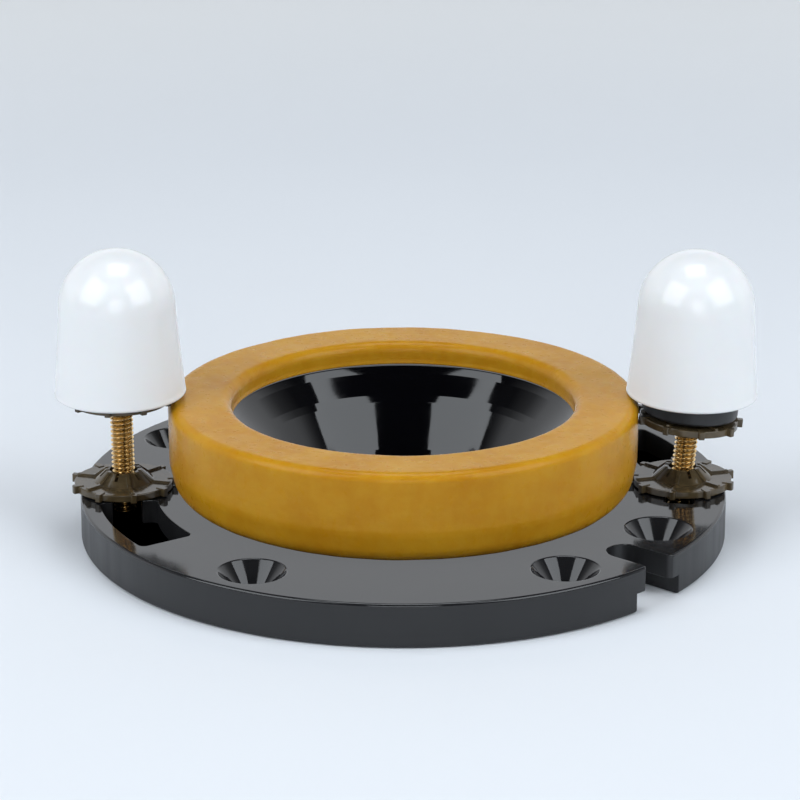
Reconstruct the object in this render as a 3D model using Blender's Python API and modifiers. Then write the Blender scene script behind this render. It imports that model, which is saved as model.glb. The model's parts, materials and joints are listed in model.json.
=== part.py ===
"""Toilet flange ring with its wax ring, closet bolts, retainers and bolt caps.

Units are metres, +Z is up. The origin is the centre of the flange at floor level.
The left bolt stands at -X and the right bolt at +X, each in its own T-slot.
Along a bolt, heights are measured on the bolt's own axis, from the middle of the slot's lip.
"""

import math

import bmesh
import bpy
from mathutils import Matrix

MM = 0.001
GAP = 0.3 * MM

# A cutter runs this far past the faces it cuts. The keyhole's runs further, so that no two cutters
# share an end face. Shapes that are joined run this far into each other.
CUT_PAST = 2.0 * MM
KEYHOLE_CUT_PAST = 3.0 * MM
JOIN_DEPTH = 1.0 * MM
SHARP_ANGLE = 30.0

# Flange: a flat moulded ring that lies on the floor.
FLANGE_RADIUS = 88.9 * MM
FLANGE_THICKNESS = 12.0 * MM
FLANGE_BORE_RADIUS = 50.8 * MM
FLANGE_EDGE = 0.8 * MM
BOLT_CIRCLE_RADIUS = 76.2 * MM

# How many sides the turned shapes have.
FLANGE_STEPS = 72
WAX_STEPS = 48
HORN_STEPS = 40
CAP_STEPS = 32
SMALL_STEPS = 24

# T-slots: a narrow slot for the shank, a keyhole for the head, and a wide channel underneath.
CHANNEL_HEIGHT = 5.3 * MM
CHANNEL_WIDTH = 16.0 * MM
KEYHOLE_WIDTH = 15.6 * MM
SLOT_INNER_RADIUS = 72.4 * MM
SLOT_OUTER_RADIUS = 80.5 * MM
SLOT_START = -11.0
SLOT_END = 32.7
KEYHOLE_START = 10.0
KEYHOLE_END = 34.7
CHANNEL_START = -16.0
CHANNEL_END = 35.0
SLOT_CORNER = 1.0 * MM
KEYHOLE_CORNER = 1.6 * MM
SLOT_SIDES = (0.0, 180.0)

# Rim notches: a bolt can also be slid in from the edge.
NOTCH_ANGLES = (-41.0, 133.5)
NOTCH_WIDTH = 9.8 * MM
NOTCH_CHANNEL_WIDTH = 17.8 * MM
NOTCH_CENTRE_RADIUS = 77.4 * MM
NOTCH_LIP_ROUND = 2.0 * MM

# Countersunk holes for the screws that hold the flange to the floor.
SCREW_ANGLES = (-121.0, -56.5, -26.5, 59.0, 118.5, 148.5)
SCREW_HOLE_RADIUS = 3.3 * MM
SCREW_SINK_RADIUS = 9.1 * MM
SCREW_SINK_DEPTH = 6.7 * MM

# Wax ring, standing on the flange.
WAX_BASE = FLANGE_THICKNESS + GAP
WAX_TOP = 38.3 * MM
WAX_HOLE_RADIUS = 47.0 * MM
WAX_RADIUS = 64.6 * MM
WAX_FOOT_RADIUS = 62.6 * MM
WAX_FOOT_BORE_RADIUS = 51.5 * MM
WAX_UNDER_LIP_RADIUS = 50.0 * MM
WAX_TOP_ROUND = 4.0 * MM
WAX_FOOT_ROUND = 6.5 * MM
WAX_HOLE_ROUND = 3.5 * MM

# Horn: a plastic funnel whose lip is buried in the wax. Below the lip its outer side runs through
# these bends, each a radius and a height: the flare, the cone and the sleeve.
HORN_LIP_RADIUS = 53.0 * MM
HORN_LIP_TOP = 31.5 * MM
HORN_LIP_THICKNESS = 1.9 * MM
HORN_MOUTH_RADIUS = 47.4 * MM
HORN_WALL = 1.7 * MM
HORN_BENDS = (
    (47.6 * MM, HORN_LIP_TOP - HORN_LIP_THICKNESS),
    (43.0 * MM, 24.6 * MM),
    (41.6 * MM, 22.8 * MM),
    (34.2 * MM, 11.2 * MM),
    (32.5 * MM, 8.2 * MM),
    (31.8 * MM, 1.5 * MM),
)

# Closet bolts: quarter-inch, with an oval head in the channel.
BOLT_RADIUS = 3.175 * MM
BOLT_LENGTH = 57.15 * MM
BOLT_HEAD_TOP = -4.3 * MM
BOLT_HEAD_THICKNESS = 2.4 * MM
BOLT_HEAD_LENGTH = 13.6 * MM
BOLT_HEAD_WIDTH = 9.6 * MM
BOLT_TIP_CHAMFER = 0.7 * MM
LIP_MIDDLE = (FLANGE_THICKNESS + CHANNEL_HEIGHT) / 2

# Retainers: push-on discs with a slit hub, ribs on top and grip tabs round the edge.
RETAINER_RADIUS = 13.6 * MM
RETAINER_THICKNESS = 2.0 * MM
RETAINER_BORE_RADIUS = 3.8 * MM
RETAINER_HUB_FOOT_RADIUS = 8.2 * MM
RETAINER_HUB_TOP_RADIUS = 4.9 * MM
RETAINER_HEIGHT = 5.0 * MM
RETAINER_TAB_RADIUS = 14.9 * MM
RETAINER_TAB_WIDTH = 1.7 * MM
RETAINER_TABS = 9
RETAINER_RIBS = 6
RETAINER_RIB_WIDTH = 1.0 * MM
RETAINER_RIB_HEIGHT = 0.6 * MM
RETAINER_RIB_TOP = 0.2 * MM
RETAINER_RIB_MARGIN = 0.2 * MM
RETAINER_TAB_TOP = 0.25 * MM
RETAINER_TAB_FOOT = 0.05 * MM
RETAINER_EDGE = 0.3 * MM
RETAINER_SLIT_WIDTH = 0.8 * MM
RETAINER_SLIT_RADIUS = 6.6 * MM
RETAINER_SLIT_DEPTH = 2.0 * MM

# Cap base: a black disc that the cap snaps over, hollow underneath for the retainer's hub, with a
# recess for the washer on top.
CAP_BASE_RADIUS = 13.2 * MM
CAP_BASE_HOLLOW_RADIUS = 9.3 * MM
CAP_BASE_HOLLOW_DEPTH = 2.5 * MM
CAP_BASE_STEP = 5.5 * MM
CAP_BASE_HEIGHT = 8.0 * MM
CAP_BASE_SNAP_RADIUS = 15.5 * MM
CAP_BASE_FLOOR = 4.5 * MM
CAP_BASE_RECESS_RADIUS = 11.2 * MM
CAP_BASE_RIM_RADIUS = 13.7 * MM
CAP_BASE_BORE_RADIUS = 3.7 * MM
CAP_BASE_SNAP_LEAD = 0.4 * MM
CAP_BASE_SNAP_SLOPE = 0.8 * MM
CAP_BASE_UNDERCUT = 0.3 * MM
CAP_BASE_FOOT_ROUND = 1.0 * MM

WASHER_RADIUS = 9.5 * MM
WASHER_THICKNESS = 1.2 * MM
WASHER_BORE_RADIUS = 3.6 * MM
NUT_ACROSS_FLATS = 11.1 * MM
NUT_HEIGHT = 5.5 * MM
NUT_BORE_RADIUS = 3.5 * MM

# Caps: thin domed covers.
CAP_MOUTH_RADIUS = 18.0 * MM
CAP_DOME_RADIUS = 16.0 * MM
CAP_SIDE_HEIGHT = 25.0 * MM
CAP_HEIGHT = 40.8 * MM
CAP_WALL = 1.4 * MM
CAP_FLARE = 1.2
CAP_SIDE_BANDS = 3
CAP_DOME_BANDS = 6

# One row per side: azimuth and radius of the bolt in its slot, its lean outwards and the cap's own,
# heights along the bolt, and the azimuths of one tab of each retainer.
SIDES = (
    {
        "name": "left",
        "azimuth": 181.0,
        "radius": 77.0 * MM,
        "lean": 0.8,
        "upper_retainer": 28.4 * MM,
        "cap": 30.6 * MM,
        "cap_lean": 0.8,
        "lower_turn": 165.0,
        "upper_turn": 20.0,
    },
    {
        "name": "right",
        "azimuth": 1.0,
        "radius": 76.6 * MM,
        "lean": 5.0,
        "upper_retainer": 21.3 * MM,
        "cap": 29.6 * MM,
        "cap_lean": 1.5,
        "lower_turn": 15.0,
        "upper_turn": 0.0,
    },
)


def clear_scene():
    for item in list(bpy.data.objects):
        bpy.data.objects.remove(item, do_unlink=True)


def collection(name):
    made = bpy.data.collections.new(name)
    bpy.context.scene.collection.children.link(made)
    return made


def material(name, colour, roughness, metallic=0.0):
    made = bpy.data.materials.new(name)
    made.use_nodes = True
    shader = made.node_tree.nodes["Principled BSDF"]
    shader.inputs["Base Color"].default_value = (*colour, 1.0)
    shader.inputs["Roughness"].default_value = roughness
    shader.inputs["Metallic"].default_value = metallic
    return made


def add_object(name, mesh, group):
    made = bpy.data.objects.new(name, mesh)
    group.objects.link(made)
    return made


def mark_as_cutter(item):
    item.hide_render = True
    item.display_type = "WIRE"
    return item


def arc(centre_x, centre_y, radius, start, end, steps):
    """Points on an arc, from start to end degrees, both included."""
    points = []
    for i in range(steps + 1):
        angle = math.radians(start + (end - start) * i / steps)
        points.append((centre_x + radius * math.cos(angle), centre_y + radius * math.sin(angle)))
    return points


def turned(name, profile, steps, group, closed=True):
    """A profile of (radius, height) points, swept round Z. It runs down its outer side."""
    mesh = bpy.data.meshes.new(name)
    count = len(profile)
    edges = [(i, i + 1) for i in range(count - 1)]
    if closed:
        edges.append((count - 1, 0))
    mesh.from_pydata([(r, 0.0, z) for r, z in profile], edges, [])
    made = add_object(name, mesh, group)
    screw = made.modifiers.new("Turn", "SCREW")
    screw.axis = "Z"
    screw.angle = 2 * math.pi
    screw.steps = steps
    screw.render_steps = steps
    screw.use_merge_vertices = True
    screw.merge_threshold = 0.00001
    screw.use_smooth_shade = False
    return made


def as_mesh(item, group):
    """Replaces a curve, or an object with modifiers, by the plain closed mesh that it evaluates to."""
    bpy.context.view_layer.update()
    graph = bpy.context.evaluated_depsgraph_get()
    mesh = bpy.data.meshes.new_from_object(item.evaluated_get(graph))
    work = bmesh.new()
    work.from_mesh(mesh)
    bmesh.ops.remove_doubles(work, verts=work.verts, dist=0.000001)
    bmesh.ops.recalc_face_normals(work, faces=work.faces)
    work.to_mesh(mesh)
    work.free()
    name = item.name
    place = item.matrix_world.copy()
    bpy.data.objects.remove(item, do_unlink=True)
    made = add_object(name, mesh, group)
    made.matrix_world = place
    return made


def extruded(name, outline, low, high, group):
    """A flat outline of (x, y) points, filled and thickened from low to high along Z."""
    curve = bpy.data.curves.new(name, "CURVE")
    curve.dimensions = "2D"
    curve.fill_mode = "BOTH"
    curve.extrude = (high - low) / 2
    spline = curve.splines.new("POLY")
    spline.points.add(len(outline) - 1)
    for point, (x, y) in zip(spline.points, outline):
        point.co = (x, y, 0.0, 1.0)
    spline.use_cyclic_u = True
    made = add_object(name, curve, group)
    made.location.z = (high + low) / 2
    made = as_mesh(made, group)
    made.data.transform(made.matrix_world)
    made.matrix_world = Matrix.Identity(4)
    return made


def rectangle(near, far, width):
    """An outline along +X, between two distances from the axis."""
    half = width / 2
    return [(near, -half), (far, -half), (far, half), (near, half)]


def ring_of_copies(item, count, start=0.0):
    """Turns one mesh into count copies of it, evenly spaced round Z."""
    work = bmesh.new()
    for i in range(count):
        turn = Matrix.Rotation(math.radians(start + 360.0 * i / count), 4, "Z")
        copy = item.data.copy()
        copy.transform(turn)
        work.from_mesh(copy)
        bpy.data.meshes.remove(copy)
    work.to_mesh(item.data)
    work.free()
    return item


def boolean(target, tool, operation):
    mark_as_cutter(tool)
    step = target.modifiers.new(operation.title() + " " + tool.name, "BOOLEAN")
    step.operation = operation
    step.solver = "EXACT"
    step.object = tool


def subdivide_outline(points, longest):
    """Adds points along a closed outline so that no side is longer than this."""
    result = []
    for (x0, y0), (x1, y1) in zip(points, points[1:] + points[:1]):
        parts = max(1, math.ceil(math.hypot(x1 - x0, y1 - y0) / longest))
        result += [(x0 + (x1 - x0) * i / parts, y0 + (y1 - y0) * i / parts) for i in range(parts)]
    return result


def sector_outline(inner, outer, start, end, corner):
    """An arc-shaped slot between two radii and two azimuths, with rounded corners."""
    middle = (inner + outer) / 2
    low = math.radians(start) * middle
    high = math.radians(end) * middle
    flat = arc(high - corner, outer - corner, corner, 0, 90, 3)
    flat += arc(low + corner, outer - corner, corner, 90, 180, 3)
    flat += arc(low + corner, inner + corner, corner, 180, 270, 3)
    flat += arc(high - corner, inner + corner, corner, 270, 360, 3)
    flat = subdivide_outline(flat, math.radians(5.0) * middle)
    return [(r * math.cos(along / middle), r * math.sin(along / middle)) for along, r in flat]


def notch_outline(width, lip_round):
    """An open rim notch along +X with a round inner end, flared where it meets the rim."""
    half = width / 2
    outside = FLANGE_RADIUS + 2 * CUT_PAST
    points = [(outside, half + lip_round)]
    if lip_round > 0:
        points += arc(FLANGE_RADIUS - lip_round, half + lip_round, lip_round, 0, -90, 3)
    else:
        points += [(outside, half)]
    mirrored = [(x, -y) for x, y in reversed(points)]
    return points + arc(NOTCH_CENTRE_RADIUS, 0.0, half, 90, 270, 10) + mirrored


def make_flange(parts, cutters, plastic):
    edge = FLANGE_EDGE
    top = FLANGE_THICKNESS
    profile = arc(FLANGE_RADIUS - edge, top - edge, edge, 90, 0, 2)
    profile += [
        (FLANGE_RADIUS, edge),
        (FLANGE_RADIUS - edge, 0.0),
        (FLANGE_BORE_RADIUS + edge, 0.0),
        (FLANGE_BORE_RADIUS, edge),
        (FLANGE_BORE_RADIUS, top - edge),
        (FLANGE_BORE_RADIUS + edge, top),
    ]
    flange = turned("closet_flange", profile, FLANGE_STEPS, parts)
    flange.data.materials.append(plastic)
    for number, side in enumerate(SLOT_SIDES):
        cut_t_slot(flange, number, side, cutters)
    for number, angle in enumerate(NOTCH_ANGLES):
        cut_notch(flange, number, angle, cutters)
    for number, angle in enumerate(SCREW_ANGLES):
        cut_screw_hole(flange, number, angle, cutters)


def cut_t_slot(flange, number, side, cutters):
    """The channel underneath, the keyhole that a bolt's head comes in through, and the slot."""
    below = -CUT_PAST
    above = FLANGE_THICKNESS + CUT_PAST
    half = CHANNEL_WIDTH / 2
    inner = BOLT_CIRCLE_RADIUS - half
    outer = BOLT_CIRCLE_RADIUS + half
    outline = sector_outline(inner, outer, side + CHANNEL_START, side + CHANNEL_END, KEYHOLE_CORNER)
    channel = extruded(f"channel_{number}", outline, below, CHANNEL_HEIGHT, cutters)
    half = KEYHOLE_WIDTH / 2
    inner = BOLT_CIRCLE_RADIUS - half
    outer = BOLT_CIRCLE_RADIUS + half
    outline = sector_outline(inner, outer, side + KEYHOLE_START, side + KEYHOLE_END, KEYHOLE_CORNER)
    low = -KEYHOLE_CUT_PAST
    high = FLANGE_THICKNESS + KEYHOLE_CUT_PAST
    keyhole = extruded(f"keyhole_{number}", outline, low, high, cutters)
    start = side + SLOT_START
    end = side + SLOT_END
    outline = sector_outline(SLOT_INNER_RADIUS, SLOT_OUTER_RADIUS, start, end, SLOT_CORNER)
    slot = extruded(f"slot_{number}", outline, below, above, cutters)
    for tool in (channel, keyhole, slot):
        boolean(flange, tool, "DIFFERENCE")


def cut_notch(flange, number, angle, cutters):
    """A narrow notch from top to bottom, and the wider channel for the bolt's head under it."""
    above = FLANGE_THICKNESS + CUT_PAST
    outline = notch_outline(NOTCH_WIDTH, NOTCH_LIP_ROUND)
    lip = extruded(f"notch_{number}", outline, -CUT_PAST, above, cutters)
    outline = notch_outline(NOTCH_CHANNEL_WIDTH, 0.0)
    under = extruded(f"notch_channel_{number}", outline, -CUT_PAST, CHANNEL_HEIGHT, cutters)
    for tool in (lip, under):
        tool.rotation_euler.z = math.radians(angle)
        boolean(flange, tool, "DIFFERENCE")


def cut_screw_hole(flange, number, angle, cutters):
    """A hole on the bolt circle with a cone on top. The cone runs on past the top face."""
    top = FLANGE_THICKNESS
    slope = (SCREW_SINK_RADIUS - SCREW_HOLE_RADIUS) / SCREW_SINK_DEPTH
    sink = [
        (0.0, top + CUT_PAST),
        (SCREW_SINK_RADIUS + slope * CUT_PAST, top + CUT_PAST),
        (SCREW_HOLE_RADIUS, top - SCREW_SINK_DEPTH),
        (SCREW_HOLE_RADIUS, -CUT_PAST),
        (0.0, -CUT_PAST),
    ]
    tool = turned(f"screw_hole_{number}", sink, SMALL_STEPS, cutters, closed=False)
    around = math.radians(angle)
    tool.location.x = BOLT_CIRCLE_RADIUS * math.cos(around)
    tool.location.y = BOLT_CIRCLE_RADIUS * math.sin(around)
    boolean(flange, tool, "DIFFERENCE")


def make_wax_ring(parts, wax):
    top_centre = (WAX_RADIUS - WAX_TOP_ROUND, WAX_TOP - WAX_TOP_ROUND)
    foot_centre = (WAX_FOOT_RADIUS - WAX_FOOT_ROUND, WAX_BASE + WAX_FOOT_ROUND)
    hole_centre = (WAX_HOLE_RADIUS + WAX_HOLE_ROUND, WAX_TOP - WAX_HOLE_ROUND)
    lip_low = HORN_LIP_TOP - HORN_LIP_THICKNESS - GAP
    lip_high = HORN_LIP_TOP + GAP
    profile = arc(*top_centre, WAX_TOP_ROUND, 90, 0, 4)
    profile += arc(*foot_centre, WAX_FOOT_ROUND, 0, -90, 5)
    profile += [
        (WAX_FOOT_BORE_RADIUS, WAX_BASE),
        (WAX_UNDER_LIP_RADIUS, lip_low),
        (HORN_LIP_RADIUS + GAP, lip_low),
        (HORN_LIP_RADIUS + GAP, lip_high),
        (WAX_HOLE_RADIUS, lip_high),
    ]
    profile += arc(*hole_centre, WAX_HOLE_ROUND, 180, 90, 3)
    ring = turned("wax_ring", profile, WAX_STEPS, parts)
    ring.data.materials.append(wax)


def make_horn(parts, plastic):
    lip = [(HORN_LIP_RADIUS, HORN_LIP_TOP), (HORN_LIP_RADIUS, HORN_LIP_TOP - HORN_LIP_THICKNESS)]
    inside = [(radius - HORN_WALL, height) for radius, height in reversed(HORN_BENDS)]
    mouth = [(HORN_MOUTH_RADIUS, HORN_LIP_TOP)]
    horn = turned("wax_ring_horn", lip + list(HORN_BENDS) + inside + mouth, HORN_STEPS, parts)
    horn.data.materials.append(plastic)


def make_bolt(name, group, cutters, metal):
    """The oval head, with the shank joined to it, along the bolt's own axis."""
    tip = BOLT_HEAD_TOP + BOLT_LENGTH
    head_low = BOLT_HEAD_TOP - BOLT_HEAD_THICKNESS
    half = BOLT_HEAD_WIDTH / 2
    reach = BOLT_HEAD_LENGTH / 2 - half
    outline = arc(reach, 0.0, half, -90, 90, 8) + arc(-reach, 0.0, half, 90, 270, 8)
    bolt = extruded(name, outline, head_low, BOLT_HEAD_TOP, group)
    shank = [
        (0.0, tip),
        (BOLT_RADIUS - BOLT_TIP_CHAMFER, tip),
        (BOLT_RADIUS, tip - BOLT_TIP_CHAMFER),
        (BOLT_RADIUS, (head_low + BOLT_HEAD_TOP) / 2),
        (0.0, (head_low + BOLT_HEAD_TOP) / 2),
    ]
    boolean(bolt, turned(name + "_shank", shank, SMALL_STEPS, cutters, closed=False), "UNION")
    bolt.data.materials.append(metal)
    return bolt


def make_retainer_mesh(cutters):
    """One moulded retainer, resting on Z = 0. All four share this shape."""
    flat = RETAINER_THICKNESS
    profile = [
        (RETAINER_HUB_TOP_RADIUS, RETAINER_HEIGHT),
        (RETAINER_HUB_FOOT_RADIUS, flat),
        (RETAINER_RADIUS - RETAINER_EDGE, flat),
        (RETAINER_RADIUS, flat - RETAINER_EDGE),
        (RETAINER_RADIUS, 0.0),
        (RETAINER_BORE_RADIUS, 0.0),
        (RETAINER_BORE_RADIUS, RETAINER_HEIGHT),
    ]
    disc = turned("retainer_blank", profile, SMALL_STEPS, cutters)
    boolean(disc, make_retainer_ribs(cutters), "UNION")
    boolean(disc, make_retainer_tabs(cutters), "UNION")
    boolean(disc, make_retainer_slits(cutters), "DIFFERENCE")
    whole = as_mesh(disc, cutters)
    mark_as_cutter(whole)
    return whole.data


def make_retainer_ribs(cutters):
    """Ribs that run down the hub's cone and out over the disc."""
    hub = (RETAINER_BORE_RADIUS + RETAINER_HUB_TOP_RADIUS) / 2
    rim = RETAINER_RADIUS - RETAINER_RIB_MARGIN
    low = RETAINER_THICKNESS - JOIN_DEPTH
    on_disc = RETAINER_THICKNESS + RETAINER_RIB_HEIGHT
    on_hub = RETAINER_HEIGHT + RETAINER_RIB_TOP
    side = [
        (hub, low),
        (rim, low),
        (rim, on_disc),
        (RETAINER_HUB_FOOT_RADIUS + RETAINER_RIB_HEIGHT / 2, on_disc),
        (RETAINER_HUB_TOP_RADIUS + RETAINER_RIB_TOP, on_hub),
        (hub, on_hub),
    ]
    half = RETAINER_RIB_WIDTH / 2
    ribs = extruded("retainer_ribs", side, -half, half, cutters)
    ribs.data.transform(Matrix.Rotation(math.pi / 2, 4, "X"))
    return ring_of_copies(ribs, RETAINER_RIBS)


def make_retainer_tabs(cutters):
    """Grip tabs round the rim, a little taller than the disc."""
    outline = rectangle(RETAINER_RADIUS - JOIN_DEPTH, RETAINER_TAB_RADIUS, RETAINER_TAB_WIDTH)
    high = RETAINER_THICKNESS + RETAINER_TAB_TOP
    tabs = extruded("retainer_tabs", outline, RETAINER_TAB_FOOT, high, cutters)
    return ring_of_copies(tabs, RETAINER_TABS)


def make_retainer_slits(cutters):
    """Slits that split the hub's top into spring fingers, midway between the ribs."""
    outline = rectangle(RETAINER_BORE_RADIUS - JOIN_DEPTH, RETAINER_SLIT_RADIUS, RETAINER_SLIT_WIDTH)
    low = RETAINER_HEIGHT - RETAINER_SLIT_DEPTH
    slits = extruded("retainer_slits", outline, low, RETAINER_HEIGHT + CUT_PAST, cutters)
    return ring_of_copies(slits, RETAINER_RIBS, 180.0 / RETAINER_RIBS)


def make_cap_base(name, parts, plastic):
    profile = [
        (CAP_BASE_SNAP_RADIUS - CAP_BASE_SNAP_LEAD, CAP_BASE_HEIGHT),
        (CAP_BASE_SNAP_RADIUS, CAP_BASE_HEIGHT - CAP_BASE_SNAP_SLOPE),
        (CAP_BASE_SNAP_RADIUS, CAP_BASE_STEP + CAP_BASE_UNDERCUT),
        (CAP_BASE_RADIUS, CAP_BASE_STEP),
    ]
    foot = CAP_BASE_FOOT_ROUND
    profile += arc(CAP_BASE_RADIUS - foot, foot, foot, 0, -90, 2)
    profile += [
        (CAP_BASE_HOLLOW_RADIUS, 0.0),
        (CAP_BASE_HOLLOW_RADIUS, CAP_BASE_HOLLOW_DEPTH),
        (CAP_BASE_BORE_RADIUS, CAP_BASE_HOLLOW_DEPTH),
        (CAP_BASE_BORE_RADIUS, CAP_BASE_FLOOR),
        (CAP_BASE_RECESS_RADIUS, CAP_BASE_FLOOR),
        (CAP_BASE_RIM_RADIUS, CAP_BASE_HEIGHT),
    ]
    base = turned(name, profile, SMALL_STEPS, parts)
    base.data.materials.append(plastic)
    return base


def make_washer(name, parts, metal):
    profile = [
        (WASHER_RADIUS, WASHER_THICKNESS),
        (WASHER_RADIUS, 0.0),
        (WASHER_BORE_RADIUS, 0.0),
        (WASHER_BORE_RADIUS, WASHER_THICKNESS),
    ]
    washer = turned(name, profile, SMALL_STEPS, parts)
    washer.data.materials.append(metal)
    return washer


def make_nut(name, parts, cutters, metal):
    corner = NUT_ACROSS_FLATS / 2 / math.cos(math.radians(30))
    nut = extruded(name, arc(0.0, 0.0, corner, 0, 300, 5), 0.0, NUT_HEIGHT, parts)
    high = NUT_HEIGHT + CUT_PAST
    bore = [(0.0, high), (NUT_BORE_RADIUS, high), (NUT_BORE_RADIUS, -CUT_PAST), (0.0, -CUT_PAST)]
    tool = turned(name + "_bore", bore, SMALL_STEPS, cutters, closed=False)
    boolean(nut, tool, "DIFFERENCE")
    nut.data.materials.append(metal)
    return nut, tool


def cap_wall(mouth, dome, rise):
    """Half of a cap's outline: an elliptical crown, then a side that flares towards the mouth."""
    crown = [(0.0, CAP_SIDE_HEIGHT + rise)]
    for i in range(1, CAP_DOME_BANDS + 1):
        angle = math.pi / 2 * (1 - i / CAP_DOME_BANDS)
        crown.append((dome * math.cos(angle), CAP_SIDE_HEIGHT + rise * math.sin(angle)))
    side = []
    for i in range(1, CAP_SIDE_BANDS + 1):
        share = i / CAP_SIDE_BANDS
        side.append((dome + (mouth - dome) * share**CAP_FLARE, CAP_SIDE_HEIGHT * (1 - share)))
    return crown + side


def make_cap(name, parts, plastic):
    rise = CAP_HEIGHT - CAP_SIDE_HEIGHT
    outer = cap_wall(CAP_MOUTH_RADIUS, CAP_DOME_RADIUS, rise)
    inner = cap_wall(CAP_MOUTH_RADIUS - CAP_WALL, CAP_DOME_RADIUS - CAP_WALL, rise - CAP_WALL)
    cap = turned(name, outer + inner[::-1], CAP_STEPS, parts, closed=False)
    cap.data.materials.append(plastic)
    return cap


def empty(name, parts, parent=None):
    made = add_object(name, None, parts)
    made.empty_display_size = 0.01
    made.parent = parent
    return made


def hang(item, parent, height, turn=0.0):
    """Places a piece on a bolt's axis, this far along it."""
    item.parent = parent
    item.location.z = height
    item.rotation_euler.z = math.radians(turn)


def make_side(side, parts, cutters, finish, retainer_mesh):
    """Everything that stands in one T-slot. The first empty turns about the flange's axis."""
    name = side["name"]
    travel = empty(name + "_slot_travel", parts)
    travel.rotation_euler.z = math.radians(side["azimuth"])
    axis = empty(name + "_bolt_axis", parts, travel)
    axis.location = (side["radius"], 0.0, LIP_MIDDLE)
    axis.rotation_euler.y = math.radians(side["lean"])

    bolt = make_bolt(name + "_closet_bolt", parts, cutters, finish["brass"])
    hang(bolt, axis, 0.0)
    hang(bpy.data.objects[name + "_closet_bolt_shank"], axis, 0.0)

    lower = add_object(name + "_lower_retainer", retainer_mesh.copy(), parts)
    lower.data.materials.append(finish["bronze"])
    seat = FLANGE_THICKNESS + GAP
    shift = math.tan(math.radians(side["lean"])) * (seat + RETAINER_HEIGHT / 2 - LIP_MIDDLE)
    lower.parent = travel
    lower.location = (side["radius"] + shift, 0.0, seat)
    lower.rotation_euler.z = math.radians(side["lower_turn"] - side["azimuth"])

    upper = add_object(name + "_upper_retainer", retainer_mesh.copy(), parts)
    upper.data.materials.append(finish["bronze"])
    height = side["upper_retainer"]
    hang(upper, axis, height, side["upper_turn"] - side["azimuth"])

    base_at = height + RETAINER_HEIGHT + RETAINER_RIB_TOP + GAP - CAP_BASE_HOLLOW_DEPTH
    hang(make_cap_base(name + "_cap_base", parts, finish["black"]), axis, base_at)
    washer_at = base_at + CAP_BASE_FLOOR + GAP
    hang(make_washer(name + "_washer", parts, finish["brass"]), axis, washer_at)
    nut_at = washer_at + WASHER_THICKNESS + GAP
    for piece in make_nut(name + "_nut", parts, cutters, finish["brass"]):
        hang(piece, axis, nut_at)
    cap = make_cap(name + "_cap", parts, finish["white"])
    hang(cap, axis, side["cap"])
    cap.rotation_euler.y = math.radians(side["cap_lean"] - side["lean"])


def settle(parts):
    """Applies each piece's modifiers, and shades it smooth with its sharp edges kept."""
    bpy.context.view_layer.update()
    graph = bpy.context.evaluated_depsgraph_get()
    pieces = [item for item in parts.objects if item.type == "MESH"]
    meshes = [bpy.data.meshes.new_from_object(item.evaluated_get(graph)) for item in pieces]
    for item, mesh in zip(pieces, meshes):
        mesh.name = item.name
        mesh.shade_smooth()
        mesh.set_sharp_from_angle(angle=math.radians(SHARP_ANGLE))
        item.modifiers.clear()
        item.data = mesh


def main():
    clear_scene()
    parts = collection("toilet_flange")
    cutters = collection("cutters")
    finish = {
        "abs": material("black_abs", (0.018, 0.018, 0.020), 0.28),
        "wax": material("wax", (0.62, 0.33, 0.07), 0.42),
        "horn": material("black_polyethylene", (0.012, 0.012, 0.016), 0.16),
        "brass": material("brass", (0.78, 0.53, 0.22), 0.25, 1.0),
        "bronze": material("bronze_plastic", (0.13, 0.10, 0.06), 0.34),
        "black": material("black_plastic", (0.02, 0.02, 0.02), 0.4),
        "white": material("white_plastic", (0.86, 0.87, 0.87), 0.12),
    }
    make_flange(parts, cutters, finish["abs"])
    make_wax_ring(parts, finish["wax"])
    make_horn(parts, finish["horn"])
    retainer_mesh = make_retainer_mesh(cutters)
    for side in SIDES:
        make_side(side, parts, cutters, finish, retainer_mesh)
    settle(parts)


main()
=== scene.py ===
import json
import math

import bmesh
import bpy
from mathutils import Matrix, Vector, noise


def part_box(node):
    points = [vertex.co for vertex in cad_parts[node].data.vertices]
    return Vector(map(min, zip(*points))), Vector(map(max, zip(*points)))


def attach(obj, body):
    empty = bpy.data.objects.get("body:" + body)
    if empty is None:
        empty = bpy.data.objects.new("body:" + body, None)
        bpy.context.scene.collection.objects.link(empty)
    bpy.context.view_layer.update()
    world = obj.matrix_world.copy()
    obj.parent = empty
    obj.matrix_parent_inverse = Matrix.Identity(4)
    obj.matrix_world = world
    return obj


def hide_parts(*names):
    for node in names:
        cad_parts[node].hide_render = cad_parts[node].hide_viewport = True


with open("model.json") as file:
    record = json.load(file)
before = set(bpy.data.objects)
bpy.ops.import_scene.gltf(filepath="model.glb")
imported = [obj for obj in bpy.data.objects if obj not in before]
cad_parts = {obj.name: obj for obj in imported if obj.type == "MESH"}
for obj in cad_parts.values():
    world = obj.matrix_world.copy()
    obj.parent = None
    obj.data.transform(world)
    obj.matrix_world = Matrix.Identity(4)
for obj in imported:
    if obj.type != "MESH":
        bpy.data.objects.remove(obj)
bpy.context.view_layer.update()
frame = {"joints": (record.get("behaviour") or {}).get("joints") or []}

# Lengths are in millimetres until a mesh is made.
MM = 0.001
MERGE = 0.004
SHARP = 38.0

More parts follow.
